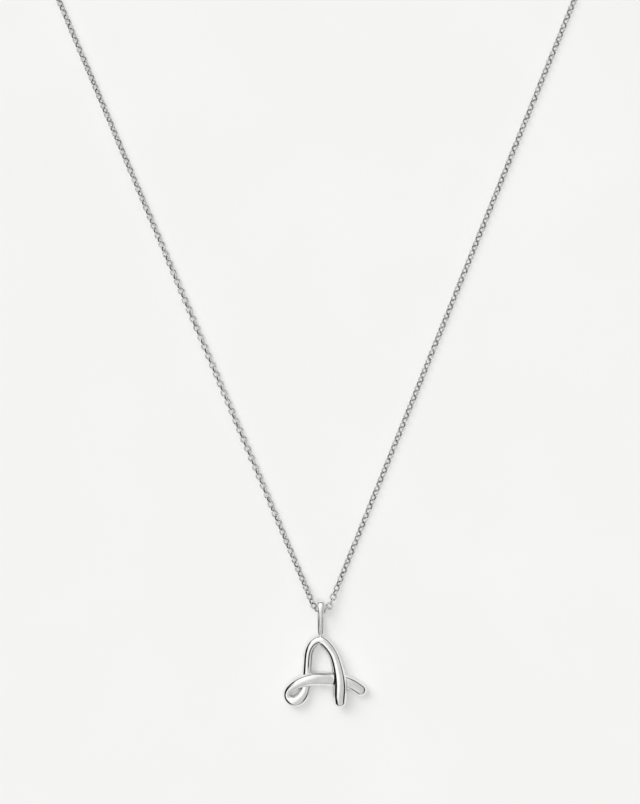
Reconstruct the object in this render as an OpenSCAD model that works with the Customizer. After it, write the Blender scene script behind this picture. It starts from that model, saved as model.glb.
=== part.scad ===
// Initial pendant: a cursive letter A in polished silver with a soldered bail, on a fine chain.
// It lies on a flat surface at z = 0 with the letter face up. +X is the letter's right,
// +Y runs from its foot to the clasp, and the origin is the middle of the whole on the surface.

/* [Necklace] */
// Length once round the closed chain, with its clasp
chain_length = 450; // [400:5:600]
// Angle between each straight run of the chain and the middle line
run_angle = 22.4; // [19:0.2:28]
// Outer width of the chain
chain_w = 1.05; // [0.9:0.05:1.3]
// Radius of the bend that the chain makes inside the bail
bend_r = 1.6; // [1.2:0.05:2]
// Distance along a run in which the chain comes down from the bail to the surface
chain_fall = 8; // [6:0.5:14]
// Gap between each end of the chain and the clasp's eye
end_gap = 0.15; // [0.1:0.05:0.3]

/* [Letter] */
// Width of the letter between the outermost points of its stroke's middle line
letter_w = 13.1; // [11:0.1:17]
// Height of the letter from its foot line to the highest point of that line
letter_h = 11; // [9.5:0.1:14]
// Diameter of the stroke where it is stoutest
stroke_d = 2.66; // [2.3:0.01:2.9]
// Height of the upper strand's underside over the surface where two strands cross
cross_rise = 1.05; // [0.95:0.05:1.2]
// Turn of the pendant on the chain, seen from above, with the foot to the left where negative
letter_turn = -0.6; // [-3:0.1:3]
// How far the pendant rests to the right of the necklace's middle line, left where negative
letter_shift = -0.2; // [-0.5:0.05:0.5]

/* [Bail] */
// Length of the bail over its outside, from its top to its soldered foot
bail_l = 6.65; // [6:0.05:9]
// Width of the bail's wire at the top and behind, across the letter
bail_w = 1.2; // [1:0.05:1.4]
// Clearance between the chain and the bail's wire, in front and behind
bail_clear = 0.2; // [0.15:0.05:0.4]
// Depth that the bail's foot is sunk into the letter by its solder
solder = 0.35; // [0.25:0.05:0.5]
// Distance from the bail's top to the chain's middle line inside it
chain_drop = 2; // [1.9:0.05:2.6]

/* [Clasp] */
// Outer diameter of the clasp's ring
clasp_d = 5.5; // [5:0.1:7]
// Thickness of the ring's wire
clasp_wire = 1.1; // [0.9:0.05:1.3]
// Outer diameter of the eye on each side of the ring
eye_d = 2.4; // [2.2:0.1:3]
// Thickness of the eyes' wire
eye_wire = 0.55; // [0.5:0.05:0.7]

/* [Hidden] */

// The letter's stroke from the foot of its right leg, over the arch, down the left leg, round
// the small loop and along the bar. Columns: X is a share of letter_w from the left, Y of
// letter_h from the foot, RISE of cross_rise for the underside, R of half of stroke_d.
X = 0;
Y = 1;
RISE = 2;
R = 3;
STROKE = [
    // right leg
    [0.719, 0.009, 0.62, 0.93],
    [0.716, 0.100, 0.80, 0.99],
    [0.719, 0.235, 0.95, 1.00],
    [0.711, 0.390, 1.00, 0.91],
    [0.675, 0.598, 0.97, 0.78],
    // arch
    [0.621, 0.788, 0.88, 0.71],
    [0.536, 0.925, 0.78, 0.71],
    [0.450, 1.000, 0.69, 0.71],
    [0.353, 0.947, 0.58, 0.71],
    [0.293, 0.815, 0.42, 0.72],
    // left leg, which runs under the bar
    [0.279, 0.640, 0.20, 0.74],
    [0.269, 0.440, 0.03, 0.76],
    [0.250, 0.260, 0.00, 0.78],
    // small loop
    [0.219, 0.118, 0.02, 0.82],
    [0.147, 0.022, 0.14, 0.88],
    [0.060, 0.008, 0.32, 0.76],
    [0.000, 0.080, 0.52, 0.60],
    [0.017, 0.187, 0.72, 0.62],
    [0.112, 0.280, 0.90, 0.72],
    // bar, which runs over the left leg and under the right one
    [0.230, 0.341, 1.00, 0.82],
    [0.380, 0.372, 0.80, 0.91],
    [0.550, 0.367, 0.30, 0.95],
    [0.720, 0.344, 0.00, 0.94],
    [0.878, 0.284, 0.00, 0.93],
    [1.000, 0.190, 0.00, 0.89]
];
// The rows at the arch's top and at the low point of the small loop, where the two strands join
ARCH_ROW = 7;
JOIN_ROW = 14;

// Steps of each sweep, and the sides of each section
STROKE_STEPS = 4;
STROKE_SIDES = 16;
CAP_STEPS = 5;
BAIL_STEPS = 48;
BAIL_SIDES = 14;
CHAIN_SIDES = 8;
BEND_STEPS = 4;
FALL_STEPS = 5;
RUN_STEPS = 8;
ROUND_STEPS = 17;
// Radius of the flat at a round end's tip, as a share of the end's radius
TIP = 0.04;

// The bail: in front, on the way to the foot, its wire loses up to this share of its width, and
// is narrowest at this angle and a quarter turn from the top. It is this much thinner than wide,
// and its loop is this much deeper at the top than an even oval.
BAIL_TAPER = 0.6;
BAIL_LEAN = 40;
BAIL_FLAT = 0.7;
BAIL_PEAR = 0.25;

// The letter's own frame has its foot line at y = 0 and the arch's top at x = 0
stroke_r = stroke_d / 2;
arch_r = STROKE[ARCH_ROW][R] * stroke_r;
arch_z = arch_r + STROKE[ARCH_ROW][RISE] * cross_rise;

// The bail's middle line is a pear-shaped oval in the plane x = 0
bail_half = chain_w / 2 + bail_clear + bail_w * BAIL_FLAT / 2;
bail_depth = 2 * bail_half * bail_bulge() + bail_w * BAIL_FLAT;
bail_foot_y = letter_h + arch_r - solder;
bail_top_y = bail_foot_y + bail_l;
bail_line_top = bail_top_y - bail_w * BAIL_FLAT / 2;
bail_line_foot = bail_foot_y + bail_half_w(180) * BAIL_FLAT;
// The pendant rests on its letter, or on the bail where that reaches lower
pendant_lift = max(0, bail_depth / 2 - arch_z);
bail_z = arch_z + pendant_lift;

// The chain's loop: two straight runs from a rounded V, closed by an arc that touches both
turn = run_angle * PI / 180;
v_length = 2 / tan(run_angle);
loop_r = (chain_length + bend_r * (v_length - PI + 2 * turn)) / (v_length + PI + 2 * turn);
apex_y = bail_top_y - chain_drop - bend_r * (1 / sin(run_angle) - 1);
loop_y = apex_y + loop_r / sin(run_angle);
run_start = bend_r / tan(run_angle);
run_end = loop_r / tan(run_angle);
clasp_y = loop_y + loop_r;
clasp_reach = clasp_d / 2 - eye_wire + eye_d;
round_end = 90 - (clasp_reach + end_gap) / loop_r * 180 / PI;
// The chain starts to come down once it is clear of the bail's side
fall_start = (bail_w / 2 + chain_w / 2 / cos(run_angle) + bail_clear / 2) / sin(run_angle);
fall_end = fall_start + chain_fall;

// The pendant turns about the chain's middle line in the bail, and its right foot is lowest
pivot_y = bail_top_y - chain_drop;
foot_x = (STROKE[0][X] - STROKE[ARCH_ROW][X]) * letter_w;
foot_y = pivot_y + (STROKE[0][Y] * letter_h - pivot_y) * cos(letter_turn)
    + foot_x * sin(letter_turn) - STROKE[0][R] * stroke_r;

// Moves everything so that the origin is the middle of the whole
origin_y = (foot_y + clasp_y + clasp_d / 2) / 2;

// Greatest width of the bail's pear shape, for a half width of 1
function bail_bulge() = max([for (a = [60:1:90]) sin(a) * (1 + BAIL_PEAR * cos(a))]);

function unit(v) = v / norm(v);

// Direction of a path at point i, from its neighbours
function heading(path, i) =
    unit(path[min(i + 1, len(path) - 1)] - path[max(i - 1, 0)]);

// One elliptical section round a centre, square to the direction ahead
function section(centre, ahead, up, r_side, r_up, sides) =
    let (across = unit(cross(up, ahead)), over = cross(ahead, across))
    [for (k = [0:sides - 1])
        centre + r_side * cos(360 * k / sides) * across + r_up * sin(360 * k / sides) * over];

// Sections of a round end, from the full section out to the tip
function round_end_sections(centre, ahead, out, r, sides) =
    [for (k = [1:CAP_STEPS]) let (a = 90 * k / CAP_STEPS)
        section(centre + out * r * sin(a) * ahead, ahead, [0, 0, 1],
            r * max(cos(a), TIP), r * max(cos(a), TIP), sides)];

function reversed(list) = [for (i = [len(list) - 1:-1:0]) list[i]];

// A stretch of the stroke as sections, with a round end before and after
function strand(samples) =
    let (
        path = [for (s = samples) [s[0], s[1], s[2]]],
        last = len(path) - 1,
        first_way = heading(path, 0),
        last_way = heading(path, last)
    )
    concat(
        reversed(round_end_sections(path[0], first_way, -1, samples[0][3], STROKE_SIDES)),
        [for (i = [0:last]) section(path[i], heading(path, i), [0, 0, 1],
            samples[i][3], samples[i][3], STROKE_SIDES)],
        round_end_sections(path[last], last_way, 1, samples[last][3], STROKE_SIDES)
    );

// Control points that make a smooth curve pass close to every row
function control(rows, i) =
    i < 0 ? 2 * rows[0] - control(rows, 1)
    : i > len(rows) - 1 ? 2 * rows[len(rows) - 1] - control(rows, len(rows) - 2)
    : i == 0 || i == len(rows) - 1 ? rows[i]
    : rows[i] + (2 * rows[i] - rows[i - 1] - rows[i + 1]) / 6;

// The smooth curve through the rows, at a place counted in rows
function smooth_row(rows, place) =
    let (i = min(floor(place), len(rows) - 2), u = place - i, w = 1 - u)
    (w * w * w * control(rows, i - 1)
        + (3 * u * u * u - 6 * u * u + 4) * control(rows, i)
        + (3 * w * w * w - 6 * w * w + 4) * control(rows, i + 1)
        + u * u * u * control(rows, i + 2)) / 6;

// A row of shares as a place and a radius in millimetres
function stroke_sample(row) =
    let (r = row[R] * stroke_r)
    [
        (row[X] - STROKE[ARCH_ROW][X]) * letter_w,
        row[Y] * letter_h,
        r + max(0, row[RISE]) * cross_rise + pendant_lift,
        r
    ];

// The stroke between two rows, in even steps
function stroke_between(from, to) =
    [for (k = [from * STROKE_STEPS:to * STROKE_STEPS])
        stroke_sample(smooth_row(STROKE, k / STROKE_STEPS))];

// The bail's middle line at an angle from its top, and half the width of its wire there
function bail_point(a) = [
    0,
    (bail_line_top + bail_line_foot) / 2 + (bail_line_top - bail_line_foot) / 2 * cos(a),
    bail_z + bail_half * sin(a) * (1 + BAIL_PEAR * cos(a))
];
function bail_half_w(a) =
    bail_w / 2 * (1 - BAIL_TAPER * pow(max(0, sin(a - BAIL_LEAN)), 1.5));

// Height of the chain's middle line at a distance from the V's point
function chain_z(s) =
    let (t = min(1, max(0, (s - fall_start) / chain_fall)))
    bail_z + (chain_w / 2 - bail_z) * t * t * (3 - 2 * t);

// Half of the chain's route, from the bend in the bail to the clasp on the right
function bend_points() =
    [for (k = [0:BEND_STEPS - 1]) let (a = -90 + (90 - run_angle) * k / BEND_STEPS)
        [bend_r * cos(a), apex_y + bend_r / sin(run_angle) + bend_r * sin(a), bail_z]];
function run_points() =
    [for (s = concat(
        [run_start],
        [for (k = [0:FALL_STEPS]) fall_start + chain_fall * k / FALL_STEPS],
        [for (k = [1:RUN_STEPS - 1]) fall_end + (run_end - fall_end) * k / RUN_STEPS]))
        [s * sin(run_angle), apex_y + s * cos(run_angle), chain_z(s)]];
function round_points() =
    [for (k = [0:ROUND_STEPS]) let (a = -run_angle + (round_end + run_angle) * k / ROUND_STEPS)
        [loop_r * cos(a), loop_y + loop_r * sin(a), chain_w / 2]];
function half_route() = concat(bend_points(), run_points(), round_points());
function route() =
    let (half = half_route())
    concat([for (i = [len(half) - 1:-1:1]) [-half[i][0], half[i][1], half[i][2]]], half);

// Solid through a row of sections, with flat ends or joined end to start
module skin(sections, closed = false) {
    sides = len(sections[0]);
    count = len(sections);
    spans = closed ? count : count - 1;
    walls = [for (i = [0:spans - 1], k = [0:sides - 1])
        let (
            a = i * sides + k,
            b = i * sides + (k + 1) % sides,
            c = ((i + 1) % count) * sides + (k + 1) % sides,
            d = ((i + 1) % count) * sides + k
        )
        each [[a, d, c], [a, c, b]]];
    ends = closed ? [] : [
        [for (k = [0:sides - 1]) k],
        [for (k = [sides - 1:-1:0]) (count - 1) * sides + k]
    ];
    polyhedron(points = [for (s = sections) each s], faces = concat(walls, ends), convexity = 8);
}

// Long loop of tapered wire, square to the letter, that the chain passes through
module bail() {
    skin([for (k = [0:BAIL_STEPS - 1])
        let (a = 360 * k / BAIL_STEPS, half_w = bail_half_w(a))
        section(bail_point(a), unit(bail_point(a + 1) - bail_point(a - 1)), [1, 0, 0],
            half_w * BAIL_FLAT, half_w, BAIL_SIDES)], closed = true);
}

// The letter and its bail, soldered into one piece
module letter_pendant() {
    color("silver") translate([letter_shift, pivot_y - origin_y, 0])
        rotate([0, 0, letter_turn]) translate([0, -pivot_y, 0]) union() {
            skin(strand(stroke_between(0, JOIN_ROW)));
            skin(strand(stroke_between(JOIN_ROW, len(STROKE) - 1)));
            bail();
        }
}

// Body of the fine chain along its whole route
module chain() {
    path = route();
    color("lightgray") translate([0, -origin_y, 0])
        skin([for (i = [0:len(path) - 1])
            section(path[i], heading(path, i), [0, 0, 1], chain_w / 2, chain_w / 2, CHAIN_SIDES)]);
}

// Plain ring of round wire, lying flat, with the seam of its wire on the inner side
module wire_ring(outer_d, wire) {
    rotate([0, 0, 90])
        rotate_extrude($fn = 96)
            translate([(outer_d - wire) / 2, 0])
                rotate(180) circle(d = wire, $fn = 32);
}

// Bolt ring with an eye soldered on each side for the chain's ends
module clasp() {
    color("silver") translate([0, clasp_y - origin_y, clasp_wire / 2]) union() {
        wire_ring(clasp_d, clasp_wire);
        for (side = [-1, 1])
            translate([side * (clasp_reach - eye_d / 2), 0, 0])
                wire_ring(eye_d, eye_wire);
    }
}

letter_pendant();
chain();
clasp();
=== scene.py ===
"""Looks of an initial pendant necklace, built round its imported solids.

Every size is in millimetres in the classes below, and is turned to metres where a mesh, a
pattern or the camera is made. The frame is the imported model's own: z = 0 is the surface that
the necklace lies on, the letter faces up, and +Y runs from the letter's foot to the clasp.
"""

import logging
import math
from dataclasses import dataclass, field
from enum import Enum

import bpy
import numpy as np
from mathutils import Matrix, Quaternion

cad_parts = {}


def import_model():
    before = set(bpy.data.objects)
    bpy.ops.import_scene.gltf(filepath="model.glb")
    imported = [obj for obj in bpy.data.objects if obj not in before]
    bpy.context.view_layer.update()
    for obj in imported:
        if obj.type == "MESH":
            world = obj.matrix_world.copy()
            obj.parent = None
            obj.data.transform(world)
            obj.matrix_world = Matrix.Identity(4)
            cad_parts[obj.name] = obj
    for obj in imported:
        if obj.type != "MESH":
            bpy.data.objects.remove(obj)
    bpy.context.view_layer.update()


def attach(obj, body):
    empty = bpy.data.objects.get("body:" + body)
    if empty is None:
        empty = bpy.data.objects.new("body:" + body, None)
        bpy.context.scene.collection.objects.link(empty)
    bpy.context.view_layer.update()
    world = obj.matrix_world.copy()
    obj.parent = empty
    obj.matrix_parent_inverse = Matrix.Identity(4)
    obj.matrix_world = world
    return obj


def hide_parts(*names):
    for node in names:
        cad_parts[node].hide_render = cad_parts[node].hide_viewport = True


LOG = logging.getLogger("necklace")

MM = 0.001
BODY = "root"
UP = np.array([0.0, 0.0, 1.0])


# Helpers


def linear(colour: str) -> tuple[float, float, float, float]:
    """Turns an sRGB colour into the linear one that a shader takes, by the sRGB standard's curve.

    Args:
        colour: the colour as "#RRGGBB".

    Returns:
        Linear red, green and blue, and an alpha of 1.
    """
    parts = [int(colour[k:k + 2], 16) / 255 for k in (1, 3, 5)]
    red, green, blue = (
        part / 12.92 if part <= 0.04045 else ((part + 0.055) / 1.055) ** 2.4 for part in parts
    )
    return red, green, blue, 1.0


def per_metre(size: float) -> float:
    """Texture scale at which one period of a pattern measures size millimetres."""
    return 1.0 / (size * MM)


def add_node(
    tree: bpy.types.NodeTree,
    kind: str,
    settings: dict[str, object] | None = None,
    inputs: dict[str | int, object] | None = None,
) -> bpy.types.Node:
    """Adds one node with its settings, input values and links.

    Args:
        tree: the tree that the node goes into.
        kind: the node's type name.
        settings: attributes of the node.
        inputs: for each socket, by name or number, a value or another node's output.

    Returns:
        The new node.
    """
    node = tree.nodes.new(kind)
    for name, value in (settings or {}).items():
        setattr(node, name, value)
    for name, value in (inputs or {}).items():
        if isinstance(value, bpy.types.NodeSocket):
            tree.links.new(value, node.inputs[name])
        else:
            node.inputs[name].default_value = value
    return node


def mesh_object(name: str, points: np.ndarray, faces: list[tuple[int, ...]]) -> bpy.types.Object:
    """Makes a smooth-shaded mesh object in the scene.

    Args:
        name: the object's name.
        points: the points in millimetres, one row each.
        faces: the point numbers of each face.

    Returns:
        The new object.
    """
    mesh = bpy.data.meshes.new(name)
    mesh.from_pydata((points * MM).tolist(), [], faces)
    mesh.validate()
    mesh.shade_smooth()
    obj = bpy.data.objects.new(name, mesh)
    bpy.context.scene.collection.objects.link(obj)
    return obj


def unit(vectors: np.ndarray) -> np.ndarray:
    """Each vector at length 1."""
    return vectors / np.linalg.norm(vectors, axis=-1, keepdims=True)


def smoothstep(value: np.ndarray | float) -> np.ndarray | float:
    """Even ease from 0 to 1 as value goes from 0 to 1."""
    share = np.clip(value, 0, 1)
    return share * share * (3 - 2 * share)


def even_turn(count: int, first: float = 0.0) -> np.ndarray:
    """Angles of evenly spaced points round a full turn, the first a share of a step from 0."""
    return (np.arange(count) + first) * 2 * math.pi / count


def along_line(points: np.ndarray, distance: np.ndarray, place: np.ndarray | float) -> np.ndarray:
    """Points of a line at given distances along it.

    Args:
        points: closely spaced points of the line.
        distance: how far along the line each of them is.
        place: one distance or more.

    Returns:
        One point for each distance.
    """
    return np.stack([np.interp(place, distance, points[:, k]) for k in range(3)], axis=-1)


def smooth_rows(rows: np.ndarray, places: np.ndarray) -> np.ndarray:
    """Reads a table of rows along a smooth curve that passes close to every row.

    The curve is an even cubic B-spline, whose control rows are moved out at the bends so that it
    comes closer to the table's rows.

    Args:
        rows: the table, one row for each place.
        places: places counted in rows, whole or not.

    Returns:
        One row for each place asked for.
    """
    bends = rows[1:-1] + (2 * rows[1:-1] - rows[:-2] - rows[2:]) / 6
    inner = np.vstack([rows[:1], bends, rows[-1:]])
    control = np.vstack([2 * rows[0] - inner[1], inner, 2 * rows[-1] - inner[-2]])
    first = np.minimum(np.floor(places).astype(int), len(rows) - 2)
    u = (places - first)[:, None]
    w = 1 - u
    return (
        w ** 3 * control[first]
        + (3 * u ** 3 - 6 * u ** 2 + 4) * control[first + 1]
        + (3 * w ** 3 - 6 * w ** 2 + 4) * control[first + 2]
        + u ** 3 * control[first + 3]
    ) / 6


def headings(path: np.ndarray, closed: bool) -> np.ndarray:
    """Direction of a path at each of its points.

    Args:
        path: the points.
        closed: True where the path's end joins its start.

    Returns:
        Unit vectors, one for each point.
    """
    if closed:
        return unit(np.roll(path, -1, axis=0) - np.roll(path, 1, axis=0))
    return unit(np.vstack([path[1:2] - path[:1], path[2:] - path[:-2], path[-1:] - path[-2:-1]]))


def ring_sections(
    path: np.ndarray, ahead: np.ndarray, up: np.ndarray,
    half_side: np.ndarray, half_up: np.ndarray, sides: int, turn: np.ndarray | None = None,
) -> np.ndarray:
    """Elliptical sections round the points of a path.

    Args:
        path: centre of each section.
        ahead: direction of the path at each section.
        up: the direction that the sections keep upwards.
        half_side: half of each section's width, one number for it or for each of its points.
        half_up: half of each section's height, in the same way.
        sides: points of one section.
        turn: angle of each point in its section, where they aren't spaced evenly.

    Returns:
        Points as an array of sections by sides by 3.
    """
    across = unit(np.cross(up, ahead))
    over = np.cross(ahead, across)
    if turn is None:
        turn = even_turn(sides)
    side = half_side.reshape(len(path), -1) * np.cos(turn)
    rise = half_up.reshape(len(path), -1) * np.sin(turn)
    return path[:, None] + side[:, :, None] * across[:, None] + rise[:, :, None] * over[:, None]


def skin_faces(count: int, sides: int, closed: bool, first: int = 0) -> list[tuple[int, ...]]:
    """Four-sided faces between neighbouring sections.

    Args:
        count: the number of sections.
        sides: the points of each section.
        closed: True where the last section joins the first.
        first: the number of the first point.

    Returns:
        The faces, turned outwards.
    """
    rows = count if closed else count - 1
    ring = (np.arange(rows) * sides)[:, None]
    after = ((np.arange(rows) + 1) % count * sides)[:, None]
    here = np.arange(sides)[None]
    beside = ((np.arange(sides) + 1) % sides)[None]
    quads = np.stack([ring + here, ring + beside, after + beside, after + here], axis=-1)
    return [tuple(quad) for quad in (quads.reshape(-1, 4) + first).tolist()]


def domed(rows: np.ndarray, count: int) -> np.ndarray:
    """A tube's rows with count more at each end, which repeat the first and the last."""
    return np.vstack([np.repeat(rows[:1], count, 0), rows, np.repeat(rows[-1:], count, 0)])


def round_ended_tube(
    name: str, path: np.ndarray, radii: np.ndarray, turn: np.ndarray, sunk: np.ndarray,
) -> bpy.types.Object:
    """Round tube along a path with a domed end on each side.

    Args:
        name: the object's name.
        path: the middle line.
        radii: the tube's radius at each point.
        turn: angle of each point in each section.
        sunk: how far each of those points lies below the round surface.

    Returns:
        The tube as an object.
    """
    sides = turn.shape[1]
    ahead = headings(path, closed=False)
    dome = np.linspace(0, math.pi / 2, sides // 4 + 1)[1:-1]
    start = path[0] - radii[0] * np.sin(dome[::-1])[:, None] * ahead[0]
    end = path[-1] + radii[-1] * np.sin(dome)[:, None] * ahead[-1]
    centres = np.vstack([start, path, end])
    widths = np.concatenate([radii[0] * np.cos(dome[::-1]), radii, radii[-1] * np.cos(dome)])
    reach = np.repeat(widths[:, None], sides, 1)
    reach[len(dome):len(dome) + len(path)] -= sunk
    rings = ring_sections(centres, domed(ahead, len(dome)), UP, reach, reach, sides,
                          domed(turn, len(dome)))
    tips = np.vstack([path[0] - radii[0] * ahead[0], path[-1] + radii[-1] * ahead[-1]])
    faces = skin_faces(len(centres), sides, closed=False)
    low, high = len(centres) * sides, len(centres) * sides + 1
    last = (len(centres) - 1) * sides
    for k in range(sides):
        faces.append((low, (k + 1) % sides, k))
        faces.append((high, last + k, last + (k + 1) % sides))
    return mesh_object(name, np.vstack([rings.reshape(-1, 3), tips]), faces)


def fused(target: bpy.types.Object, tools: list[bpy.types.Object], crease: float) -> None:
    """Joins closed shells into one skin, as solder does, and keeps their meeting lines crisp.

    Args:
        target: the object that becomes the whole. It may pass through itself.
        tools: the objects joined to it, which are deleted.
        crease: angle in degrees over which an edge between two faces is crisp.
    """
    for tool in tools:
        step = target.modifiers.new("solder", "BOOLEAN")
        step.operation = "UNION"
        step.solver = "EXACT"
        step.use_self = True
        step.object = tool
    graph = bpy.context.evaluated_depsgraph_get()
    whole = bpy.data.meshes.new_from_object(target.evaluated_get(graph))
    target.modifiers.clear()
    target.data = whole
    for tool in tools:
        bpy.data.objects.remove(tool, do_unlink=True)
    whole.shade_smooth()
    whole.set_sharp_from_angle(angle=math.radians(crease))


def give_finish(obj: bpy.types.Object, *materials: bpy.types.Material | None) -> None:
    """Puts a material on each of an object's slots, in order.

    Args:
        obj: the object, which gets as many slots as it needs.
        materials: the materials, or None for a slot that is filled later.
    """
    while len(obj.data.materials) < len(materials):
        obj.data.materials.append(None)
    for place, material in zip(obj.material_slots, materials):
        place.link = "OBJECT"
        place.material = material


def place_piece(obj: bpy.types.Object, node: str) -> None:
    """Ties a piece to the frame and reports it.

    Args:
        obj: the piece.
        node: the solid that it stands for.
    """
    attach(obj, BODY)
    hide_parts(node)
    LOG.info("%s: %d faces, stands for %s", obj.name, len(obj.data.polygons), node)


# Finishes


@dataclass(frozen=True)
class BuffedSilver:
    """Sterling silver, cast and buffed to a mirror.

    It gives the eye crisp reflections that waver a little, because a buff leaves the surface
    not quite even, with hairlines that are only seen as a faint softening.

    Attributes:
        name: the material's name.
        colour: the clean metal.
        oxide_and_reflection_colour: the darker metal in random patches. On the buffed metal they
            are a faint film of oxide; in the bright wire's finish they are painted dark
            reflections, and in the two dark finishes they vary the painted shade and the painted
            dark reflection.
        oxide_and_reflection_size: size of those patches.
        oxide_and_reflection_levels: levels of the noise at which the darker and the clean metal are
            whole.
        roughness: lowest and highest roughness.
        wave_size: distance between the soft swells that the buff leaves.
        wave_depth: height of those swells.
        hairline_size: spacing of the buff's hairlines, drawn coarser than the real 0.01 mm
            so that they show at all.
        hairline_depth: depth of the hairlines.
        hairline_turn: direction of the hairlines, seen from above, in radians.
        hairline_stretch: the pattern's scale along the hairlines as a share of the one across
            them, which draws them long.
    """

    name: str = "buffed_sterling_silver"
    colour: str = "#F6F6F4"
    oxide_and_reflection_colour: str = "#EAEAE8"
    oxide_and_reflection_size: float = 1.4
    oxide_and_reflection_levels: tuple[float, float] = (0.25, 0.6)
    roughness: tuple[float, float] = (0.03, 0.075)
    wave_size: float = 2.6
    wave_depth: float = 0.006
    hairline_size: float = 0.09
    hairline_depth: float = 0.0004
    hairline_turn: float = 0.6
    hairline_stretch: float = 0.12

    def material(self) -> bpy.types.Material:
        """Makes the finish.

        Returns:
            The finish as a node material.
        """
        material = bpy.data.materials.new(self.name)
        material.use_nodes = True
        tree = material.node_tree
        shader = tree.nodes["Principled BSDF"]
        place = add_node(tree, "ShaderNodeTexCoord").outputs["Object"]
        swells = add_node(tree, "ShaderNodeTexNoise", inputs={
            "Vector": place, "Scale": per_metre(self.wave_size), "Detail": 1.0,
            "Roughness": 0.4})
        strokes = add_node(tree, "ShaderNodeMapping", inputs={
            "Vector": place, "Rotation": (0.0, 0.0, self.hairline_turn),
            "Scale": (1.0, self.hairline_stretch, 1.0)})
        hairlines = add_node(tree, "ShaderNodeTexNoise", inputs={
            "Vector": strokes.outputs[0], "Scale": per_metre(self.hairline_size),
            "Detail": 2.0, "Roughness": 0.6})
        # Random darker patches: a faint film of oxide on the buffed metal, painted dark reflections
        # on the bright wire.
        oxide_and_reflection_noise = add_node(tree, "ShaderNodeTexNoise", inputs={
            "Vector": place, "Scale": per_metre(self.oxide_and_reflection_size), "Detail": 4.0, "Roughness": 0.6})
        tone = add_node(tree, "ShaderNodeValToRGB", inputs={"Fac": oxide_and_reflection_noise.outputs["Fac"]})
        stops = zip(tone.color_ramp.elements, self.oxide_and_reflection_levels, (self.oxide_and_reflection_colour, self.colour))
        for stop, level, colour in stops:
            stop.position = level
            stop.color = linear(colour)
        # The noise stays near 0.5, so its middle part is spread over the whole roughness.
        softness = add_node(tree, "ShaderNodeMapRange", inputs={
            "Value": hairlines.outputs["Fac"], "From Min": 0.3, "From Max": 0.7,
            "To Min": self.roughness[0], "To Max": self.roughness[1]})
        swell_bump = add_node(tree, "ShaderNodeBump", inputs={
            "Height": swells.outputs["Fac"], "Strength": 1.0,
            "Distance": self.wave_depth * MM})
        hair_bump = add_node(tree, "ShaderNodeBump", inputs={
            "Height": hairlines.outputs["Fac"], "Strength": 1.0,
            "Distance": self.hairline_depth * MM, "Normal": swell_bump.outputs["Normal"]})
        shader.inputs["Metallic"].default_value = 1.0
        tree.links.new(tone.outputs["Color"], shader.inputs["Base Color"])
        tree.links.new(softness.outputs["Result"], shader.inputs["Roughness"])
        tree.links.new(hair_bump.outputs["Normal"], shader.inputs["Normal"])
        return material


@dataclass(frozen=True)
class PaintedReflectionLineSilver(BuffedSilver):
    """Sterling silver in an engraved line, painted dark grey.

    It gives the eye a dull grey line with soft reflections, because its colour is a painted dark
    reflection that bright silver in the groove wouldn't show.
    """

    name: str = "painted_reflection_line_silver"
    colour: str = "#6A6966"
    oxide_and_reflection_colour: str = "#44433F"
    roughness: tuple[float, float] = (0.25, 0.45)


@dataclass(frozen=True)
class WireSilver(BuffedSilver):
    """Drawn silver wire, tumbled bright as a finished chain.

    It gives the eye small hard glints between greys that change from link to link. The glints
    come from swells as small as the links, which the tumbling leaves; much of the grey is painted
    dark reflection, random patches of the darker colour that are just as small.
    """

    name: str = "drawn_silver_wire"
    colour: str = "#FAFAF8"
    # Painted dark reflections: random patches of this grey between the bright glints.
    oxide_and_reflection_colour: str = "#8E8E8C"
    oxide_and_reflection_size: float = 0.5
    roughness: tuple[float, float] = (0.02, 0.06)
    wave_size: float = 0.4
    wave_depth: float = 0.012


@dataclass(frozen=True)
class PaintedShadeWireSilver(BuffedSilver):
    """Silver wire inside the links' holes, painted dark.

    It gives the eye the dark dot in each link, because its colour is painted shade.
    """

    name: str = "painted_shade_silver_wire"
    colour: str = "#4C4B47"
    oxide_and_reflection_colour: str = "#2A2927"
    oxide_and_reflection_size: float = 0.5
    roughness: tuple[float, float] = (0.25, 0.4)


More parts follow.
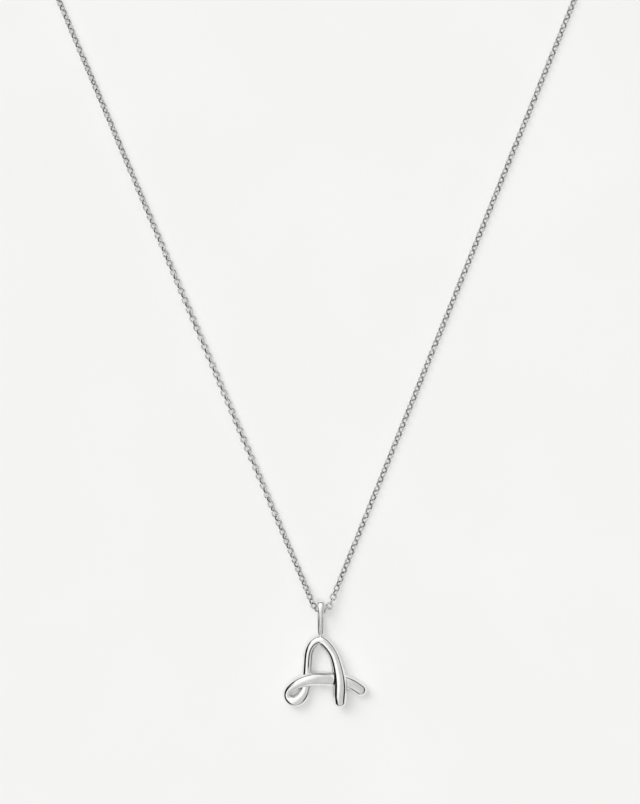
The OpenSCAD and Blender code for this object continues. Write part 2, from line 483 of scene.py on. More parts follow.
@dataclass(frozen=True)
class Card:
    """Smooth matt card, the pale surface that the necklace lies on.

    It gives the eye an even off-white with soft shadows and no gloss, because its pulp scatters
    the light.

    Attributes:
        name: the material's name.
        colour: the card.
        shade_colour: the card in the faint clouds of its pulp.
        cloud_size: size of those clouds.
        cloud_levels: levels of the noise at which the shade and the plain card are whole.
        roughness: its roughness.
        fibre_size: size of the fibres, drawn coarser than real ones of 0.02 mm.
        fibre_depth: height of the fibres.
    """

    name: str = "smooth_matt_card"
    colour: str = "#F5F5F3"
    shade_colour: str = "#F3F3F1"
    cloud_size: float = 30.0
    cloud_levels: tuple[float, float] = (0.3, 0.7)
    roughness: float = 0.9
    fibre_size: float = 0.25
    fibre_depth: float = 0.004

    def material(self) -> bpy.types.Material:
        """Makes the finish.

        Returns:
            The finish as a node material.
        """
        material = bpy.data.materials.new(self.name)
        material.use_nodes = True
        tree = material.node_tree
        shader = tree.nodes["Principled BSDF"]
        place = add_node(tree, "ShaderNodeTexCoord").outputs["Object"]
        clouds = add_node(tree, "ShaderNodeTexNoise", inputs={
            "Vector": place, "Scale": per_metre(self.cloud_size), "Detail": 3.0})
        fibres = add_node(tree, "ShaderNodeTexNoise", inputs={
            "Vector": place, "Scale": per_metre(self.fibre_size), "Detail": 2.0})
        tone = add_node(tree, "ShaderNodeValToRGB", inputs={"Fac": clouds.outputs["Fac"]})
        stops = zip(tone.color_ramp.elements, self.cloud_levels, (self.shade_colour, self.colour))
        for stop, level, colour in stops:
            stop.position = level
            stop.color = linear(colour)
        bump = add_node(tree, "ShaderNodeBump", inputs={
            "Height": fibres.outputs["Fac"], "Strength": 1.0, "Distance": self.fibre_depth * MM})
        shader.inputs["Roughness"].default_value = self.roughness
        shader.inputs["Specular IOR Level"].default_value = 0.0
        tree.links.new(tone.outputs["Color"], shader.inputs["Base Color"])
        tree.links.new(bump.outputs["Normal"], shader.inputs["Normal"])
        return material


# Layout


@dataclass(frozen=True)
class Layout:
    """Where the letter, its bail, the chain and the clasp lie, as in the source of the solids.

    The letter's own frame has its foot line at y = 0 and the middle of its arch at x = 0.

    Attributes:
        chain_length: once round the closed chain, with its clasp.
        run_angle: between each straight run and the middle line.
        chain_width: outer width of the chain.
        bend_radius: of the bend that the chain makes inside the bail.
        chain_fall: distance in which the chain comes down from the bail to the surface.
        letter_width: between the outermost points of the stroke's middle line.
        letter_height: from the foot line to the highest point of that line.
        stroke_radius: of the stroke where it is stoutest.
        cross_rise: height of the upper strand's underside where two strands cross.
        letter_turn: turn of the pendant on the chain, with the foot to the left where negative.
        letter_shift: how far the pendant rests to the right of the necklace's middle line.
        foot_place, foot_level, foot_thickness: the stroke's first row in the table STROKE.
        arch_place, arch_rise, arch_thickness: the arch's row in that table.
        bail_length: over its outside, from its top to its soldered foot.
        bail_width: of the bail's wire at the top and behind.
        bail_clearance: between the chain and the bail's wire.
        bail_taper: share of its width that the wire loses in front, on the way to the foot.
        bail_lean: angle from the top at which the taper starts.
        bail_narrowing: power with which the taper sets in.
        bail_flatness: the wire's thickness as a share of its width.
        bail_pear: how much deeper the bail's loop is at the top than an even oval.
        solder: depth that the bail's foot is sunk into the letter.
        chain_drop: from the bail's top to the chain's middle line inside it.
        clasp_diameter: over the outside of the clasp's ring.
        clasp_wire: thickness of the ring.
        eye_diameter: over the outside of an eye.
        eye_wire: thickness of the eyes' wire.
    """

    chain_length: float = 450.0
    run_angle: float = math.radians(22.4)
    chain_width: float = 1.05
    bend_radius: float = 1.6
    chain_fall: float = 8.0
    letter_width: float = 13.1
    letter_height: float = 11.0
    stroke_radius: float = 1.33
    cross_rise: float = 1.05
    letter_turn: float = math.radians(-0.6)
    letter_shift: float = -0.2
    foot_place: float = 0.719
    foot_level: float = 0.009
    foot_thickness: float = 0.93
    arch_place: float = 0.45
    arch_rise: float = 0.69
    arch_thickness: float = 0.71
    bail_length: float = 6.65
    bail_width: float = 1.2
    bail_clearance: float = 0.2
    bail_taper: float = 0.6
    bail_lean: float = math.radians(40)
    bail_narrowing: float = 1.5
    bail_flatness: float = 0.7
    bail_pear: float = 0.25
    solder: float = 0.35
    chain_drop: float = 2.0
    clasp_diameter: float = 5.5
    clasp_wire: float = 1.1
    eye_diameter: float = 2.4
    eye_wire: float = 0.55

    @property
    def arch_radius(self) -> float:
        """Radius of the stroke at the arch's top."""
        return self.arch_thickness * self.stroke_radius

    @property
    def bail_height(self) -> float:
        """Height of the bail's middle over the surface."""
        return self.arch_radius + self.arch_rise * self.cross_rise

    @property
    def bail_foot(self) -> float:
        """Distance of the bail's lowest point from the letter's foot line."""
        return self.letter_height + self.arch_radius - self.solder

    @property
    def bail_half(self) -> float:
        """Half of the depth of the bail's middle line."""
        return self.chain_width / 2 + self.bail_clearance + self.bail_width * self.bail_flatness / 2

    @property
    def apex(self) -> float:
        """Where the middle lines of the two runs would meet."""
        lift = self.bend_radius * (1 / math.sin(self.run_angle) - 1)
        return self.bail_foot + self.bail_length - self.chain_drop - lift

    @property
    def loop_radius(self) -> float:
        """Solves the loop for the length of the chain.

        Returns:
            Radius of the round part of the chain's loop.
        """
        v_length = 2 / math.tan(self.run_angle)
        spare = self.bend_radius * (v_length - math.pi + 2 * self.run_angle)
        return (self.chain_length + spare) / (v_length + math.pi + 2 * self.run_angle)

    @property
    def loop_centre(self) -> float:
        """Middle of the round part of the chain's loop."""
        return self.apex + self.loop_radius / math.sin(self.run_angle)

    @property
    def clasp_centre(self) -> float:
        """Middle of the clasp."""
        return self.loop_centre + self.loop_radius

    @property
    def clasp_reach(self) -> float:
        """Distance from the clasp's middle to the outside of an eye."""
        return self.clasp_diameter / 2 - self.eye_wire + self.eye_diameter

    @property
    def pivot(self) -> float:
        """Where the chain's middle line passes through the bail, and the pendant turns on it."""
        return self.bail_foot + self.bail_length - self.chain_drop

    @property
    def origin(self) -> float:
        """Finds the middle of the whole, between the turned letter's foot and the clasp's top.

        Returns:
            Its distance from the letter's foot line.
        """
        turn = self.letter_turn
        foot_x = (self.foot_place - self.arch_place) * self.letter_width
        foot_y = self.foot_level * self.letter_height - self.pivot
        foot = (self.pivot + foot_y * math.cos(turn) + foot_x * math.sin(turn)
                - self.foot_thickness * self.stroke_radius)
        return (foot + self.clasp_centre + self.clasp_diameter / 2) / 2

    def moved(self, points: np.ndarray) -> np.ndarray:
        """Points of the necklace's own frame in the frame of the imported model."""
        return points - np.array([0.0, self.origin, 0.0])

    def hung(self, points: np.ndarray) -> np.ndarray:
        """Turns and shifts the pendant on the chain.

        Args:
            points: points of the letter's own frame.

        Returns:
            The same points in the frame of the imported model.
        """
        sine, cosine = math.sin(self.letter_turn), math.cos(self.letter_turn)
        turn = np.array([[cosine, sine, 0.0], [-sine, cosine, 0.0], [0.0, 0.0, 1.0]])
        pivot = np.array([0.0, self.pivot, 0.0])
        shift = np.array([self.letter_shift, 0.0, 0.0])
        return self.moved((points - pivot) @ turn + pivot + shift)


# The letter and its bail


# The stroke from the foot of the right leg, over the arch, down the left leg, round the small
# loop and along the bar. Columns: place from the left as a share of the letter's width, place
# from the foot line as a share of its height, rise of the underside as a share of the rise at
# a crossing, and radius as a share of the stoutest.
STROKE = (
    (0.719, 0.009, 0.62, 0.93),
    (0.716, 0.100, 0.80, 0.99),
    (0.719, 0.235, 0.95, 1.00),
    (0.711, 0.390, 1.00, 0.91),
    (0.675, 0.598, 0.97, 0.78),
    (0.621, 0.788, 0.88, 0.71),
    (0.536, 0.925, 0.78, 0.71),
    (0.450, 1.000, 0.69, 0.71),
    (0.353, 0.947, 0.58, 0.71),
    (0.293, 0.815, 0.42, 0.72),
    (0.279, 0.640, 0.20, 0.74),
    (0.269, 0.440, 0.03, 0.76),
    (0.250, 0.260, 0.00, 0.78),
    (0.219, 0.118, 0.02, 0.82),
    (0.147, 0.022, 0.14, 0.88),
    (0.060, 0.008, 0.32, 0.76),
    (0.000, 0.080, 0.52, 0.60),
    (0.017, 0.187, 0.72, 0.62),
    (0.112, 0.280, 0.90, 0.72),
    (0.230, 0.341, 1.00, 0.82),
    (0.380, 0.372, 0.80, 0.91),
    (0.550, 0.367, 0.30, 0.95),
    (0.720, 0.344, 0.00, 0.94),
    (0.878, 0.284, 0.00, 0.93),
    (1.000, 0.190, 0.00, 0.89),
)


@dataclass(frozen=True)
class Groove:
    """Fine line engraved along the inner side of the arch and down the left leg.

    Attributes:
        course: places in rows of the stroke, and how far the line lies from the stroke's top
            towards its inner side there, in degrees.
        width: width of the line.
        depth: depth of the line.
        fade: stretch in rows over which it starts and ends.
        least_half: half of the angle, in radians, that is kept for the line where it isn't cut,
            so that the sections keep their points apart.
        painted_from: how far the line has to be cut, from 0 to 1, to take the painted dark
            reflection.
    """

    course: tuple[tuple[float, float], ...] = (
        (6.75, 24.0), (7.0, 21.9), (8.0, 12.5), (9.0, 8.4), (10.0, 5.0), (10.65, 4.5))
    width: float = 0.2
    depth: float = 0.08
    fade: float = 0.45
    least_half: float = 0.02
    painted_from: float = 0.2

    def cut(self, places: np.ndarray) -> np.ndarray:
        """How far the line is cut at each place, from 0 to 1."""
        start, end = self.course[0][0], self.course[-1][0]
        return smoothstep((places - start) / self.fade) * smoothstep((end - places) / self.fade)

    def sections(
        self, places: np.ndarray, radii: np.ndarray, sides: int,
    ) -> tuple[np.ndarray, np.ndarray]:
        """Angles and depths of the points of the stroke's sections, the first one in the line.

        Args:
            places: places of the sections in rows of the stroke.
            radii: radii of the sections.
            sides: points of one section.

        Returns:
            The angle of each point, and how far it is sunk.
        """
        table = np.array(self.course)
        middle = math.pi / 2 - np.radians(np.interp(places, table[:, 0], table[:, 1]))
        share = self.cut(places)
        half = np.maximum(self.width / 2 / radii * share, self.least_half)
        turn = middle[:, None] + even_turn(sides)
        turn[:, 1] = middle + half
        turn[:, -1] = middle - half
        sunk = np.zeros_like(turn)
        sunk[:, 0] = self.depth * share
        return turn, sunk


@dataclass
class LetterPendant:
    """The cursive letter, bent from one tapering stroke, and the bail soldered to its arch.

    Attributes:
        layout: where everything lies.
        steps: sections between two rows of the stroke's table.
        sides: points of one section of the stroke.
        bail_steps: sections of the bail's loop.
        bail_sides: points of one section of the bail.
        bail_powers: power of the bail's oval section at its top, in front and behind. 2 is an
            ellipse, more gives a broad flat face, and less a keener ridge.
        strand_blend: height over and under the bail's middle, as a share of half its depth, over
            which the rear section passes into the front one.
        crown_blend: places on the way to the bail's top, as shares of half its length, at which
            its section starts to be the top's and wholly is.
        crease: angle over which a meeting line is crisp, in degrees.
        groove: the engraved line.
    """

    layout: Layout
    steps: int = 14
    sides: int = 56
    bail_steps: int = 192
    bail_sides: int = 40
    bail_powers: tuple[float, float, float] = (3.2, 2.0, 1.7)
    strand_blend: float = 0.3
    crown_blend: tuple[float, float] = (0.4, 0.9)
    crease: float = 24.0
    groove: Groove = Groove()

    def stroke(self) -> bpy.types.Object:
        """Bends the letter's stroke from its foot to the end of its bar.

        Returns:
            The stroke as one tube, with its engraved line.
        """
        lay = self.layout
        places = np.linspace(0, len(STROKE) - 1, (len(STROKE) - 1) * self.steps + 1)
        rows = smooth_rows(np.array(STROKE), places)
        radii = rows[:, 3] * lay.stroke_radius
        path = np.stack([
            (rows[:, 0] - lay.arch_place) * lay.letter_width,
            rows[:, 1] * lay.letter_height,
            radii + np.maximum(0, rows[:, 2]) * lay.cross_rise,
        ], axis=1)
        turn, sunk = self.groove.sections(places, radii, self.sides)
        letter = round_ended_tube("letter_pendant_silver", lay.hung(path), radii, turn, sunk)
        give_finish(letter, None, None)
        # The dome's sections come before the stroke's, and the line lies where each row of
        # faces ends and starts again.
        first = self.sides // 4 - 1
        # Faces of the engraved line take the second slot, which holds a painted dark reflection.
        for i in np.flatnonzero(self.groove.cut(places) > self.groove.painted_from).tolist():
            for k in (0, self.sides - 1):
                letter.data.polygons[(first + i) * self.sides + k].material_index = 1
        return letter

    def bail_half_width(self, angle: np.ndarray | float) -> np.ndarray:
        """Tapers the bail's wire, which is narrowest low in front.

        Args:
            angle: angles round the bail's loop from its top.

        Returns:
            Half of the wire's width at each.
        """
        lay = self.layout
        lean = np.maximum(0, np.sin(np.asarray(angle) - lay.bail_lean)) ** lay.bail_narrowing
        return lay.bail_width / 2 * (1 - lay.bail_taper * lean)

    def bail_power(self, angle: np.ndarray) -> np.ndarray:
        """Shapes the bail's section along its loop.

        Args:
            angle: angles round the bail's loop from its top.

        Returns:
            Power of the oval section at each, 2 for an ellipse.
        """
        crown, front, rear = self.bail_powers
        in_front = smoothstep((np.sin(angle) + self.strand_blend) / (2 * self.strand_blend))
        strand = rear + (front - rear) * in_front
        low, high = self.crown_blend
        return strand + (crown - strand) * smoothstep((np.cos(angle) - low) / (high - low))

    def bail(self) -> bpy.types.Object:
        """Bends the bail: a long closed loop of wire that narrows towards its soldered foot.

        Returns:
            The bail as an object.
        """
        lay = self.layout
        angle = even_turn(self.bail_steps)
        half_width = self.bail_half_width(angle)
        top = lay.bail_foot + lay.bail_length - lay.bail_width * lay.bail_flatness / 2
        foot = lay.bail_foot + float(self.bail_half_width(math.pi)) * lay.bail_flatness
        path = np.stack([
            np.zeros_like(angle),
            (top + foot) / 2 + (top - foot) / 2 * np.cos(angle),
            lay.bail_height + lay.bail_half * np.sin(angle) * (1 + lay.bail_pear * np.cos(angle)),
        ], axis=1)
        turn = even_turn(self.bail_sides)
        power = self.bail_power(angle)[:, None]
        swell = (np.abs(np.cos(turn)) ** power + np.abs(np.sin(turn)) ** power) ** (-1 / power)
        across = half_width[:, None] * swell
        rings = ring_sections(path, headings(path, closed=True), np.array([1.0, 0.0, 0.0]),
                              across * lay.bail_flatness, across, self.bail_sides)
        faces = skin_faces(self.bail_steps, self.bail_sides, closed=True)
        return mesh_object("bail", lay.hung(rings.reshape(-1, 3)), faces)

    def build(self) -> bpy.types.Object:
        """Solders the bail to the letter.

        Returns:
            Both as one piece.
        """
        letter = self.stroke()
        fused(letter, [self.bail()], self.crease)
        return letter

    def dress(self, letter: bpy.types.Object, silver: bpy.types.Material,
              painted_dark: bpy.types.Material) -> None:
        """Gives the pendant its finish, the engraved line its painted dark grey, and both their
        place.

        Args:
            letter: the pendant.
            silver: its finish.
            painted_dark: the finish of the engraved line, a painted dark reflection.
        """
        give_finish(letter, silver, painted_dark)
        place_piece(letter, "letter_pendant")


# The chain


class Side(Enum):
    """The two runs of the chain, and the sign of x on each."""

    LEFT = -1
    RIGHT = 1


@dataclass(frozen=True)
class Link:
    """One oval link of round wire.

    Attributes:
        length: over its outside, along the chain.
        width: over its outside, across the chain.
        wire: diameter of its wire.
        steps: sections round the oval.
        sides: points of one section.
        shaded_from: how far a face has to look into the hole to take the painted shade, from 1
        for outwards to -1 for straight inwards.
    """

    length: float = 1.41
    width: float = 1.3
    wire: float = 0.26
    steps: int = 28
    sides: int = 8
    shaded_from: float = -0.5

    @property
    def straight(self) -> float:
        """Half of the length of each straight side."""
        return (self.length - self.width) / 2

    def sections(self) -> np.ndarray:
        """Bends the wire round the origin, long along x and wide along y.

        Returns:
            Points as an array of sections by sides by 3.
        """
        radius = (self.width - self.wire) / 2
        # Half a step on, so that no section falls in the middle of a straight side.
        turn = even_turn(self.steps, 0.5)
        path = np.stack([
            self.straight * np.sign(np.cos(turn)) + radius * np.cos(turn),
            radius * np.sin(turn),
            np.zeros_like(turn),
        ], axis=1)
        half = np.full(self.steps, self.wire / 2)
        return ring_sections(path, headings(path, closed=True), UP, half, half, self.sides)

    def shaded_hole_faces(self) -> np.ndarray:
        """Finds the faces that look into the link's hole, which take the painted shade.

        Returns:
            True or False for each face, in the order of skin_faces.
        """
        rings = self.sections()
        middles = rings.mean(axis=1)
        hubs = np.zeros_like(middles)
        hubs[:, 0] = np.clip(middles[:, 0], -self.straight, self.straight)
        outwards = unit(middles - hubs)
        corners = np.stack([rings, np.roll(rings, -1, axis=1)]).mean(axis=0)
        facing = np.einsum("ijk,ik->ij", unit(corners - middles[:, None]), outwards)
        return (facing < self.shaded_from).reshape(-1)

    def placed(self, centre: np.ndarray, ahead: np.ndarray, roll: float) -> np.ndarray:
        """The link's sections at a place on the chain.

        Args:
            centre: middle of the link.
            ahead: unit vector along the chain.
            roll: turn of the link about that direction, 0 where it lies flat, in radians.

        Returns:
            The points of its sections.
        """
        across = unit(np.cross(UP, ahead))
        over = np.cross(ahead, across)
        wide = across * math.cos(roll) + over * math.sin(roll)
        thick = np.cross(ahead, wide)
        turned = self.sections().reshape(-1, 3) @ np.stack([ahead, wide, thick])
        return turned + centre


@dataclass
class CableChain:
    """Fine cable chain of oval links, each turned a quarter against the next.

    Attributes:
        layout: where everything lies.
        side: which half of the chain this is.
        pitch: distance from link to link along the run.
        rolls: how the links are turned, as distances from the bail and degrees.
        link: the plain link.
        end_link: the longer link that holds the clasp's eye.
        bend_points: points of the middle line inside the bail.
        line_points: points of the straight run, and of the round part.
        landing: distances from the bail between which the links come to lie on the surface.
        settling: distances before the last plain link at which the links start to turn until
            that link lies flat, and have done so.
    """

    layout: Layout
    side: Side
    pitch: float
    rolls: tuple[tuple[float, float], ...]
    link: Link = field(default_factory=Link)
    end_link: Link = field(default_factory=lambda: Link(length=1.9))
    bend_points: int = 60
    line_points: int = 3000
    landing: tuple[float, float] = (4.0, 10.0)
    settling: tuple[float, float] = (40.0, 5.0)

    def route(self) -> tuple[np.ndarray, np.ndarray]:
        """Lays half of the chain's middle line, from inside the bail to the clasp.

        Returns:
            Closely spaced points, and the distance of each along the line.
        """
        lay = self.layout
        turn, bend, loop = lay.run_angle, lay.bend_radius, lay.loop_radius
        angle = np.linspace(-math.pi / 2, -turn, self.bend_points)
        centre = lay.apex + bend / math.sin(turn)
        bend_part = np.stack([bend * np.cos(angle), centre + bend * np.sin(angle)], axis=1)
        way = np.linspace(bend / math.tan(turn), loop / math.tan(turn), self.line_points)[1:]
        run_part = np.stack([way * math.sin(turn), lay.apex + way * math.cos(turn)], axis=1)
        angle = np.linspace(-turn, math.pi / 2, self.line_points)[1:]
        round_part = np.stack([
            loop * np.cos(angle), lay.loop_centre + loop * np.sin(angle)], axis=1)
        flat = np.vstack([bend_part, run_part, round_part])
        fall_start = (lay.bail_width / 2 + lay.chain_width / 2 / math.cos(turn)
                      + lay.bail_clearance / 2) / math.sin(turn)
        from_apex = np.hypot(flat[:, 0], flat[:, 1] - lay.apex)
        down = smoothstep((from_apex - fall_start) / lay.chain_fall)
        height = lay.bail_height + (lay.chain_width / 2 - lay.bail_height) * down
        points = np.column_stack([flat, height])
        steps = np.linalg.norm(np.diff(points, axis=0), axis=1)
        return lay.moved(points), np.concatenate([[0.0], np.cumsum(steps)])

    def joints(self, points: np.ndarray, distance: np.ndarray) -> np.ndarray:
        """Finds where one link hangs in the next, from the bail to the clasp's end link.

        The pitch is that of the straight run, changed by less than a hundredth beyond it, so
        that a whole number of links reaches the clasp.

        Args:
            points: the middle line.
            distance: how far along it each point is.

        Returns:
            Distances along the line.
        """
        lay = self.layout
        end = self.end_link
        inner = lay.clasp_reach - lay.eye_wire + end.length - 2 * end.wire
        near = slice(-self.line_points // 2, None)
        last = float(np.interp(-inner, -np.abs(points[near, 0]), distance[near]))
        straight_end = lay.loop_radius / math.tan(lay.run_angle)
        places = [self.chord(points, distance, 0.0, self.pitch / 2)]
        while places[-1] < straight_end:
            places.append(self.chord(points, distance, places[-1], self.pitch))
        left = round((last - places[-1]) / self.pitch)
        return np.concatenate([places, np.linspace(places[-1], last, left + 1)[1:]])

    @staticmethod
    def chord(
        points: np.ndarray, distance: np.ndarray, start: float, length: float, tries: int = 6,
    ) -> float:
        """Steps off a straight length between two points of a line.

        Args:
            points: the line.
            distance: how far along it each point is.
            start: distance along the line of the first of the two points.
            length: straight length to the second one.
            tries: times that the second one is moved nearer to where it belongs.

        Returns:
            Distance along the line of the second point.
        """
        place = start + length
        for _ in range(tries):
            step = along_line(points, distance, place) - along_line(points, distance, start)
            place += length - float(np.linalg.norm(step))
        return place

    def pattern_turn(self, along: np.ndarray, last_quarter: int) -> np.ndarray:
        """Turns the links' pattern along the run, and square to the surface at the clasp.

        Args:
            along: distance of each link from the bail.
            last_quarter: 1 where the last plain link stands on edge in the pattern, 0 where it
                lies flat.

        Returns:
            Turn of the pattern at each link, in radians.
        """
        table = np.array(self.rolls)
        roll = np.radians(np.interp(along, table[:, 0], table[:, 1]))
        start, done = self.settling
        settled = smoothstep((along - along[-1] + start) / (start - done))
        return roll * (1 - settled) + last_quarter * math.pi / 2 * settled

    def build(self) -> bpy.types.Object:
        """Hangs all links of this half in each other.

        The right half holds the link in the bail's middle, and the left half starts beside it.

        Returns:
            The links as one object.
        """
        lay = self.layout
        points, distance = self.route()
        places = self.joints(points, distance)
        knots = along_line(points, distance, places)
        knots[:, 0] *= self.side.value
        if self.side is Side.RIGHT:
            mirrored = knots[:1] * np.array([-1.0, 1.0, 1.0])
            knots = np.vstack([mirrored, knots])
            places = np.concatenate([[-places[0]], places])
        middles = (knots[1:] + knots[:-1]) / 2
        ways = unit(knots[1:] - knots[:-1])
        along = (places[1:] + places[:-1]) / 2
        count = len(middles)
        first = 0 if self.side is Side.RIGHT else 1
        quarter = (np.arange(count) + first) % 2
        roll = self.pattern_turn(along, int(quarter[-1]))
        link = self.link
        # A link and its neighbours are a quarter apart, and the steeper of them stands lowest.
        steepest = np.maximum(np.abs(np.sin(roll)), np.abs(np.cos(roll)))
        reach = steepest * (link.width - link.wire) / 2
        start, done = self.landing
        landed = smoothstep((along - start) / (done - start))
        middles[:, 2] += (link.wire / 2 + reach - lay.chain_width / 2) * landed
        cells = [link.placed(middles[i], ways[i], roll[i] + math.pi / 2 * quarter[i])
                 for i in range(count)]
        cells.append(self.holding_link(knots[-1], ways[-1]))
        faces: list[tuple[int, ...]] = []
        size = link.steps * link.sides
        for i in range(count + 1):
            faces += skin_faces(link.steps, link.sides, closed=True, first=i * size)
        links = mesh_object(f"chain_links_{self.side.name.lower()}", np.vstack(cells), faces)
        give_finish(links, None, None)
        # The faces inside each link's hole take the second slot, painted shade.
        shaded_holes = [link.shaded_hole_faces()] * count + [self.end_link.shaded_hole_faces()]
        links.data.polygons.foreach_set("material_index", np.concatenate(shaded_holes).astype(np.int32))
        return links

    def holding_link(self, knot: np.ndarray, ahead: np.ndarray) -> np.ndarray:
        """Stands the end link on edge, with the clasp's eye and the last plain link in it.

        Args:
            knot: where the last plain link hangs in it.
            ahead: unit vector along the chain there.

        Returns:
            The points of its sections.
        """
        end = self.end_link
        flat = unit(ahead * np.array([1.0, 1.0, 0.0]))
        middle = knot + flat * (end.length / 2 - end.wire)
        middle[2] = end.width / 2
        return end.placed(middle, flat, math.pi / 2)

    def dress(self, links: bpy.types.Object, silver: bpy.types.Material,
              painted_dark: bpy.types.Material) -> None:
        """Gives the links their finish, with painted shade in their holes, and their place.

        Args:
            links: the links of this half.
            silver: their finish.
            painted_dark: the finish in their holes, painted shade.
        """
        give_finish(links, silver, painted_dark)
        place_piece(links, "chain")


# The clasp


@dataclass
class BoltRing:
    """Bolt ring clasp: a ring of tube with a soldered eye on each side.

    A spring in the tube pushes a bolt across the ring's mouth, and a knob draws it back.

    Attributes:
        layout: where everything lies.
        steps: sections round a ring.
        sides: points of one section.
        mouth: where the bolt shows, as degrees round the ring from +X.
        bolt_wire: thickness of the bolt.
        lip: width of the step from the tube down to the bolt, in degrees.
        knob_side: where the knob stands on the ring, in degrees from +X.
        knob_radius: half of the knob's thickness.
        knob_reach: distance of the knob's end from the ring's middle, without its dome.
        crease: angle over which a meeting line is crisp, in degrees.
    """

    layout: Layout
    steps: int = 96
    sides: int = 28
    mouth: tuple[float, float] = (236.0, 272.0)
    bolt_wire: float = 0.8
    lip: float = 0.5
    knob_side: float = 304.0
    knob_radius: float = 0.32
    knob_reach: float = 2.95
    crease: float = 30.0

    def ring(
        self, name: str, centre: tuple[float, float, float], outer: float, wire: float,
        turn: np.ndarray | None = None, half: np.ndarray | None = None,
    ) -> bpy.types.Object:
        """Bends a closed ring of round wire that lies flat.

        Args:
            name: the object's name.
            centre: its middle, in the letter's own frame.
            outer: its outer diameter.
            wire: the wire's diameter.
            turn: angles of its sections, where they aren't spaced evenly.
            half: half of the wire's thickness at each of those.

        Returns:
            The ring as an object.
        """
        if turn is None:
            turn = even_turn(self.steps)
            half = np.full(self.steps, wire / 2)
        radius = (outer - wire) / 2
        path = np.stack([centre[0] + radius * np.cos(turn), centre[1] + radius * np.sin(turn),
                         np.full_like(turn, centre[2])], axis=1)
        ahead = np.stack([-np.sin(turn), np.cos(turn), np.zeros_like(turn)], axis=1)
        rings = ring_sections(self.layout.moved(path), ahead, UP, half, half, self.sides)
        return mesh_object(name, rings.reshape(-1, 3),
                           skin_faces(len(turn), self.sides, closed=True))

    def body(self, height: float) -> bpy.types.Object:
        """Makes the ring of tube, with the bolt that closes its mouth.

        Args:
            height: of its middle over the surface.

        Returns:
            The ring as an object.
        """
        lay = self.layout
        start, end = np.radians(self.mouth)
        lip = math.radians(self.lip)
        lips = [start, start + lip, end - lip, end]
        turn = np.sort(np.concatenate([even_turn(self.steps), lips]))
        in_mouth = (turn > start + lip / 2) & (turn < end - lip / 2)
        half = np.where(in_mouth, self.bolt_wire, lay.clasp_wire) / 2
        return self.ring("clasp_ring", (0.0, lay.clasp_centre, height), lay.clasp_diameter,
                         lay.clasp_wire, turn, half)

    def knob(self, height: float) -> bpy.types.Object:
        """Makes the round-ended knob that draws the bolt back.

        Args:
            height: of its middle over the surface.

        Returns:
            The knob as an object.
        """
        lay = self.layout
        side = math.radians(self.knob_side)
        reach = np.array([(lay.clasp_diameter - lay.clasp_wire) / 2, self.knob_reach])
        path = np.stack([reach * math.cos(side), lay.clasp_centre + reach * math.sin(side),
                         np.full(2, height)], axis=1)
        turn = np.tile(even_turn(self.sides), (2, 1))
        return round_ended_tube("knob", lay.moved(path), np.full(2, self.knob_radius), turn,
                                np.zeros_like(turn))

    def build(self) -> bpy.types.Object:
        """Solders the knob and the two eyes to the ring.

        Returns:
            All of them as one piece.
        """
        lay = self.layout
        height = lay.clasp_wire / 2
        body = self.body(height)
        reach = lay.clasp_reach - lay.eye_diameter / 2
        eyes = [self.ring("eye", (side.value * reach, lay.clasp_centre, height),
                          lay.eye_diameter, lay.eye_wire) for side in Side]
        fused(body, [self.knob(height), *eyes], self.crease)
        return body

    def dress(self, clasp: bpy.types.Object, silver: bpy.types.Material) -> None:
        """Gives the clasp its finish and its place in the frame."""
        give_finish(clasp, silver)
        place_piece(clasp, "clasp")


# The studio


@dataclass(frozen=True)
class SoftLight:
    """Soft light on the surface from above or from one side, which the silver doesn't mirror.

    Attributes:
        name: the light's name.
        power: its strength.
        spread: angle that it fills, in degrees.
        tilt: how far it leans from straight above, in degrees.
        side: direction that it leans to, in degrees from +X.
    """

    name: str
    power: float
    spread: float
    tilt: float
    side: float = 140.0

    def hang(self) -> None:
        """Hangs the light over the surface."""
        data = bpy.data.lights.new(self.name, "SUN")
        data.energy = self.power
        data.angle = math.radians(self.spread)
        light = bpy.data.objects.new(self.name, data)
        towards = math.radians(self.side)
        light.rotation_mode = "QUATERNION"
        light.rotation_quaternion = Quaternion(
            (-math.sin(towards), math.cos(towards), 0.0), math.radians(self.tilt))
        light.visible_glossy = False
        bpy.context.scene.collection.objects.link(light)


